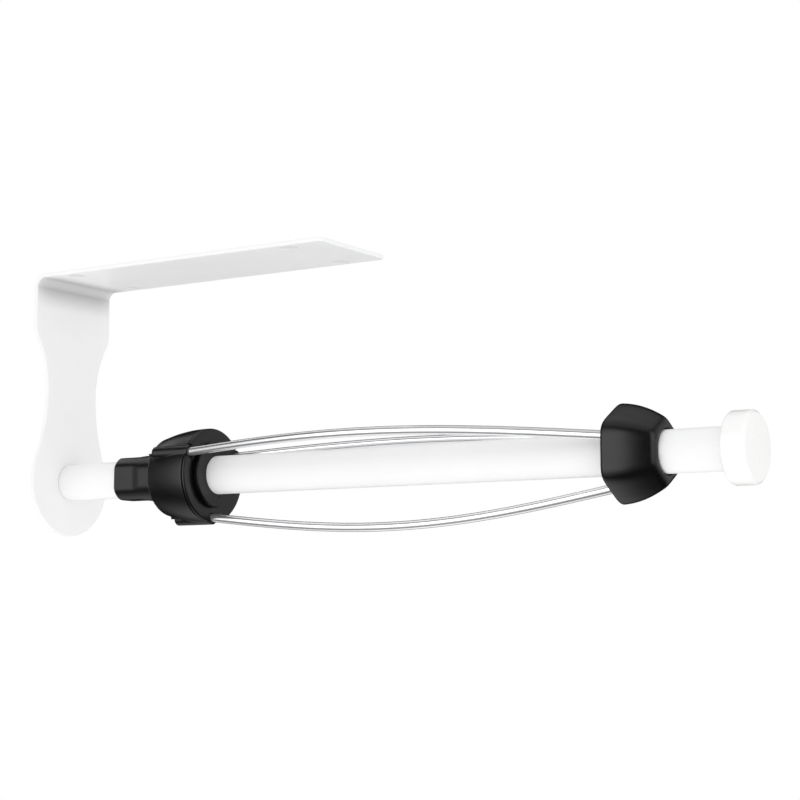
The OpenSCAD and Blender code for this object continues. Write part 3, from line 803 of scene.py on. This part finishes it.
def cover_ring(x, trim):
    """Edge of the cover: a rounded rim that dips round each ridge."""
    def radius_at(offset):
        if abs(offset) >= NOTCH_R:
            return drum_r - trim
        return notch_at(offset) - trim / 4
    return ridged_ring(x, radius_at)


def plug_ring(x):
    """Edge of the plug, which fits the shell's cavity and stays clear of the notches."""
    def radius_at(offset):
        if abs(offset) >= NOTCH_R:
            return PLUG_R
        return min(PLUG_R, notch_at(offset) - PLUG_NOTCH_GAP)
    return ridged_ring(x, radius_at)


def cover_skin():
    """Disc with a rounded rim, notches for the ridges and a plug inside the shell."""
    rings = []
    for t in quarter_turn(3):
        rings.append(cover_ring(cover_start + COVER_BACK_EDGE * (1 - math.cos(t)),
                                COVER_BACK_EDGE * (1 - math.sin(t))))
    for t in quarter_turn(6):
        rings.append(cover_ring(cover_end - COVER_EDGE * (1 - math.sin(t)),
                                COVER_EDGE * (1 - math.cos(t))))
    rings.append(even_ring(cover_end, clip_r + DISH_WIDTH))
    rings.append(even_ring(cover_end - DISH_DEPTH, COVER_BORE + BORE_BEVEL))
    rings.append(even_ring(cover_end - DISH_DEPTH - BORE_BEVEL, COVER_BORE))
    rings.append(even_ring(cover_plug_start, COVER_BORE))
    rings.append(plug_ring(cover_plug_start))
    rings.append(plug_ring(cover_start))
    return loft(rings, closed=True)


piece("drum_cover_disc", cover_skin(), "drum_cover")

# ---- retaining clip: open ring on the rod ----

CLIP_BORE = ROD_R - GROOVE
CLIP_WRAP = math.radians(215)
CLIP_FROM = math.radians(-90)
CLIP_STEPS = 90
CLIP_BACK_EDGE = 0.3
CLIP_EDGE = 0.45
CLIP_BORE_EDGE = 0.25


def clip_skin():
    """Ring that leaves the back open: it runs from straight down, round the front, past the top."""
    outline = rounded([
        (clip_start, CLIP_BORE, GROOVE_EDGE),
        (clip_start, clip_r, CLIP_BACK_EDGE),
        (clip_end, clip_r, CLIP_EDGE),
        (clip_end, CLIP_BORE, CLIP_BORE_EDGE),
    ])
    rings = [[polar(x, radius, CLIP_FROM - CLIP_WRAP * i / CLIP_STEPS) for x, radius in outline]
             for i in range(CLIP_STEPS + 1)]
    return loft(rings, closed=False)


clip = piece("retaining_clip_ring", clip_skin(), "retaining_clip")
soften(clip, CLIP_EDGE, segments=3)

# ---- sliding cone: six domed facets with soft ridges, a cupped base and a flat end ----

cone_start, cone_end, _ = reach("cone")
CONE_FACET_R = 17.1                    # from the rod's axis to the facets at the base
CONE_END_R = 10.9                      # and at the end
CONE_SOFTNESS = 11                     # higher makes the ridges between the facets sharper
CONE_SIDES = 180
CONE_STEPS = 40
CONE_BASE_EDGE = 1.6
CONE_END_EDGE = 2.1
CONE_BORE = ROD_R + 0.6
CONE_MOUTH = 0.3                       # bevel of the bore's mouth
CUP_R = 14.8
LIP_DEEP = 0.4                         # rounding of the cup's rim
LIP_EDGE = 0.1
SEAT_R = 14.2
retainer_start, retainer_end, _ = reach("wire_retainer")
_, bushing_end, bushing_r = reach("cone_bushing")


def facet_at(x):
    """Distance from the rod's axis to the cone's facets."""
    share = (x - cone_start) / (cone_end - cone_start)
    return CONE_FACET_R - (CONE_FACET_R - CONE_END_R) * share * share


def cone_ring(x, trim=0.0):
    """Six-sided ring with soft corners."""
    ring = []
    for k in range(CONE_SIDES):
        turn = 2 * math.pi * k / CONE_SIDES
        facing = (max(0.0, math.cos(turn - math.pi / 3 * facet)) for facet in range(6))
        spread = sum(value ** CONE_SOFTNESS for value in facing) ** (-1 / CONE_SOFTNESS)
        ring.append(polar(x, facet_at(x) * spread - trim, turn))
    return ring


def cone_skin():
    """Cone from its bore over the seats of the bushing and the wires' plate, the cup, the rounded
    base and the facets to the rounded end."""
    def plain(x, radius):
        return circle_ring(x, radius, CONE_SIDES)

    rings = [plain(bushing_end, CONE_BORE), plain(bushing_end, bushing_r), plain(retainer_end, bushing_r),
             plain(retainer_end, SEAT_R), plain(retainer_start, SEAT_R), plain(retainer_start, CUP_R),
             plain(cone_start + LIP_DEEP, CUP_R), plain(cone_start + LIP_EDGE, CUP_R + LIP_EDGE),
             plain(cone_start, CUP_R + LIP_DEEP)]
    for t in quarter_turn(6):
        rings.append(cone_ring(cone_start + CONE_BASE_EDGE * (1 - math.cos(t)),
                               CONE_BASE_EDGE * (1 - math.sin(t))))
    body = cone_end - CONE_END_EDGE - cone_start - CONE_BASE_EDGE
    for i in range(CONE_STEPS):
        rings.append(cone_ring(cone_start + CONE_BASE_EDGE + body * (i + 1) / CONE_STEPS))
    for t in quarter_turn(6, first=1):
        rings.append(cone_ring(cone_end - CONE_END_EDGE * (1 - math.sin(t)),
                               CONE_END_EDGE * (1 - math.cos(t))))
    rings += [plain(cone_end, CONE_BORE + CONE_MOUTH), plain(cone_end - CONE_MOUTH, CONE_BORE)]
    return loft(rings, closed=True)


piece("sliding_cone", cone_skin(), "cone")

# ---- spring wires ----

wire_low, wire_high = node_box("wire_bottom")
WIRE_END_R = 12.1                      # from the rod's axis to the bow's end
WIRE_TAIL_R = 11.6                     # and to the straight end in the cone
WIRE_BOW = 8.6                         # height of the bow over the line between its ends
KNEE_BEFORE = 1.2                      # lengths over which the wire turns into and out of its bow
KNEE_AFTER = 2.0
wire_bow_start = cover_end + 0.2
wire_bow_end = cone_start - 0.6
BOW_STEPS = 120
WIRE_SIDES = 20


def wire_line():
    """Centre line of a wire as (x, distance from the rod's axis): straight in the drum, bowed, and
    straight again in the cone."""
    line = [(wire_low.x, WIRE_START_R), (wire_bow_start - KNEE_BEFORE, WIRE_START_R)]
    for i in range(BOW_STEPS + 1):
        t = i / BOW_STEPS
        bow = WIRE_BOW * math.sin(math.pi * t)
        line.append((wire_bow_start + (wire_bow_end - wire_bow_start) * t,
                     WIRE_START_R + (WIRE_END_R - WIRE_START_R) * t + bow))
    return line + [(wire_bow_end + KNEE_AFTER, WIRE_TAIL_R), (wire_high.x, WIRE_TAIL_R)]


def wire_skin(angle):
    """Round wire along its line, at an angle round the rod."""
    line = wire_line()
    turn = math.radians(angle)
    outward = Vector((0, math.cos(turn), math.sin(turn)))
    sideways = Vector((0, -math.sin(turn), math.cos(turn)))
    rings = []
    for i, (x, radius) in enumerate(line):
        before, after = line[max(i - 1, 0)], line[min(i + 1, len(line) - 1)]
        slope = math.atan2(after[1] - before[1], after[0] - before[0])
        normal = outward * math.cos(slope) - Vector((math.sin(slope), 0, 0))
        centre = Vector((x, 0, 0)) + outward * radius
        ring = []
        for k in range(WIRE_SIDES):
            round_turn = 2 * math.pi * k / WIRE_SIDES
            ring.append(tuple(centre + WIRE_R * (normal * math.cos(round_turn)
                                                 + sideways * math.sin(round_turn))))
        rings.append(ring)
    return loft(rings, closed=False)


for node, angle in zip(("wire_bottom", "wire_back", "wire_front"), RIDGE_ANGLES):
    wire = piece(node + "_bowed", wire_skin(angle), node, bends=True)
    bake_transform(wire)

# ---- the pawls' flat springs: each runs from its foot in the drum to its tip on a pawl ----

STRIP_T = 0.3
STRIP_EDGE = 0.06
STRIP_STEPS = 14


def strip_skin(foot, tip, width):
    """Flat strip with broken edges between the middles of its two ends."""
    across = Vector((1, 0, 0))
    up = (tip - foot).normalized().cross(across)
    side, top = width / 2, STRIP_T / 2
    outline = [(side, top - STRIP_EDGE), (side - STRIP_EDGE, top), (STRIP_EDGE - side, top),
               (-side, top - STRIP_EDGE), (-side, STRIP_EDGE - top), (STRIP_EDGE - side, -top),
               (side - STRIP_EDGE, -top), (side, STRIP_EDGE - top)]
    rings = []
    for i in range(STRIP_STEPS + 1):
        centre = foot.lerp(tip, i / STRIP_STEPS)
        rings.append([tuple(centre + across * w + up * t) for w, t in outline])
    return loft(rings, closed=False)


PAWL_OF = {"pawl_spring_top": "upper_pawl", "pawl_spring_bottom": "lower_pawl"}
for (node, pawl), foot_side in zip(PAWL_OF.items(), (-1, 1)):
    strip_low, strip_high = node_box(node)
    middle = (strip_low + strip_high) / 2
    # The strip lies askew in its box, so its ends' middles are a part of its thickness inside it
    to_end = (strip_high - strip_low) / 2 - Vector((0, STRIP_T / 4, STRIP_T / 2))
    to_end.x = 0
    foot, tip = middle + foot_side * to_end, middle - foot_side * to_end
    strip = piece(node + "_strip", strip_skin(foot, tip, strip_high.x - strip_low.x), node, bends=True)
    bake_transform(strip)

# ---- the CAD nodes that stay, with rounded edges and their own finish ----

NODE_EDGE = 0.15
THIN_NODE_EDGES = {"thrust_washer": 0.1}
for node, obj in frame["nodes"].items():
    obj.data.materials.clear()
    obj.data.materials.append(MATERIALS[SLOT_OF[node]])
    if node not in remade:
        soften(obj, THIN_NODE_EDGES.get(node, NODE_EDGE))

# ---- camera ----

CAMERA_AT = (0.4929, -0.6117, -0.1491)  # metres, in the shared frame
CAMERA_AZIMUTH = 32.83                 # degrees, like the pitch
CAMERA_PITCH = 6.66
CAMERA_LENS = 83.77
camera = bpy.data.objects.new("camera", bpy.data.cameras.new("camera"))
camera.data.lens = CAMERA_LENS
camera.data.sensor_width = 36
camera.data.clip_start = 0.01
camera.data.clip_end = 100
camera.location = CAMERA_AT
camera.rotation_euler = (math.radians(90 + CAMERA_PITCH), 0, math.radians(CAMERA_AZIMUTH))
bpy.context.scene.collection.objects.link(camera)
bpy.context.scene.camera = camera
bpy.context.scene.view_settings.view_transform = "Standard"

# ---- studio: white backdrop, pale floor and softboxes ----

MIDDLE = (Vector(cad_box[0]) + Vector(cad_box[1])) / 2
LIGHT_DISTANCE = 1.4


def glow(name, strength):
    """Plain white light-giving material for the studio's walls."""
    material = bpy.data.materials.new(name)
    material.use_nodes = True
    tree = material.node_tree
    tree.nodes.clear()
    light = tree.nodes.new("ShaderNodeEmission")
    light.inputs["Strength"].default_value = strength
    tree.links.new(light.outputs["Emission"], tree.nodes.new("ShaderNodeOutputMaterial").inputs["Surface"])
    return material


def dome(name, radius, strength):
    """Sphere round the whole studio that only the camera sees."""
    bpy.ops.mesh.primitive_uv_sphere_add(segments=64, ring_count=32, radius=radius, location=(0, 0, 0))
    obj = bpy.context.object
    obj.name = name
    obj.data.materials.append(glow(name, strength))
    obj.visible_diffuse = False
    obj.visible_glossy = False
    obj.visible_transmission = False
    obj.visible_shadow = False


def softbox(name, azimuth, elevation, across, up, brightness, blur, glossy=True):
    """Soft light with blurred edges that faces the object from an azimuth (from the front, towards
    the knob's side) and an elevation. across and up are its half-widths as seen from the object, in
    degrees like the others. brightness is that of its face, where 1 shows as white. blur is the share
    of its width over which an edge fades. It gives only reflections, or only plain light."""
    width = 2 * LIGHT_DISTANCE * math.tan(math.radians(across))
    height = 2 * LIGHT_DISTANCE * math.tan(math.radians(up))
    data = bpy.data.lights.new(name, "AREA")
    data.shape = "RECTANGLE"
    data.size = width
    data.size_y = height
    data.energy = brightness * math.pi * width * height
    data.use_nodes = True
    tree = data.node_tree
    place = tree.nodes.new("ShaderNodeNewGeometry").outputs["Parametric"]
    split = tree.nodes.new("ShaderNodeSeparateXYZ")
    tree.links.new(place, split.inputs["Vector"])
    fade = tree.nodes.new("ShaderNodeMath")
    fade.operation = "MULTIPLY"
    for i, side in enumerate(("X", "Y")):
        inside = tree.nodes.new("ShaderNodeMath")
        inside.operation = "PINGPONG"      # 0 at both edges, 0.5 in the middle
        inside.inputs[1].default_value = 0.5
        tree.links.new(split.outputs[side], inside.inputs[0])
        edge = tree.nodes.new("ShaderNodeMapRange")
        edge.interpolation_type = "SMOOTHSTEP"
        edge.inputs["From Max"].default_value = blur
        tree.links.new(inside.outputs[0], edge.inputs["Value"])
        tree.links.new(edge.outputs["Result"], fade.inputs[i])
    tree.links.new(fade.outputs[0], tree.nodes["Emission"].inputs["Strength"])
    obj = bpy.data.objects.new(name, data)
    a, e = math.radians(azimuth), math.radians(elevation)
    direction = Vector((math.sin(a) * math.cos(e), -math.cos(a) * math.cos(e), math.sin(e)))
    obj.location = MIDDLE + direction * LIGHT_DISTANCE
    obj.rotation_euler = direction.to_track_quat("Z", "Y").to_euler()
    obj.visible_camera = False
    obj.visible_glossy = glossy
    obj.visible_diffuse = not glossy
    bpy.context.scene.collection.objects.link(obj)


BACKDROP_R = 12.0
dome("backdrop", BACKDROP_R, strength=1.0)
softbox("front_light", azimuth=-14, elevation=2, across=42, up=37, brightness=1.78, blur=0.3)
softbox("front_low_light", azimuth=-12, elevation=-36, across=44, up=24, brightness=0.6, blur=0.5)
softbox("left_light", azimuth=-57, elevation=0, across=22, up=34, brightness=0.42, blur=0.5)
softbox("right_light", azimuth=79, elevation=15, across=27, up=34, brightness=1.45, blur=0.4)
softbox("low_light", azimuth=-122, elevation=-60, across=42, up=37, brightness=1.05, blur=0.5)
softbox("top_light", azimuth=0, elevation=88, across=47, up=47, brightness=0.58, blur=0.3)
softbox("end_light", azimuth=135, elevation=8, across=42, up=40, brightness=0.55, blur=0.3)
softbox("under_light", azimuth=40, elevation=-80, across=45, up=45, brightness=0.32, blur=0.3,
        glossy=False)

FLOOR_Z = -1.2                         # low enough to see the object from below
FLOOR_R = 9
bpy.ops.mesh.primitive_circle_add(vertices=96, radius=FLOOR_R, fill_type="NGON",
                                  location=(0, 0, FLOOR_Z))
floor = bpy.context.object
floor.name = "floor"
pale = Finish("pale_floor", color=(0.92, 0.92, 0.92), roughness=0.7)
pale.shader.inputs["Emission Color"].default_value = (1, 1, 1, 1)
pale.shader.inputs["Emission Strength"].default_value = 0.98
pale.vary_roughness(pale.noise(grain=40.0), amount=0.05)
floor.data.materials.append(pale.material)
floor.visible_glossy = False
floor.visible_diffuse = False
floor.visible_shadow = False

# Plain light from all round, dimmer behind the arm, away from the camera
DIM_SIDE = (-0.64, 0.77, 0.0)
DIM_FROM = 0.1
FULL_LIGHT = 1.12
DIM_LIGHT = 0.45
world = bpy.data.worlds.new("studio_air")
bpy.context.scene.world = world
world.use_nodes = True
air = world.node_tree
towards = air.nodes.new("ShaderNodeVectorMath")
towards.operation = "DOT_PRODUCT"
towards.inputs[1].default_value = DIM_SIDE
air.links.new(air.nodes.new("ShaderNodeTexCoord").outputs["Generated"], towards.inputs[0])
level = air.nodes.new("ShaderNodeMapRange")
level.inputs["From Min"].default_value = DIM_FROM
level.inputs["To Min"].default_value = FULL_LIGHT
level.inputs["To Max"].default_value = DIM_LIGHT
air.links.new(towards.outputs["Value"], level.inputs["Value"])
air.nodes["Background"].inputs["Color"].default_value = (1, 1, 1, 1)
air.links.new(level.outputs["Result"], air.nodes["Background"].inputs["Strength"])
world.cycles_visibility.glossy = False
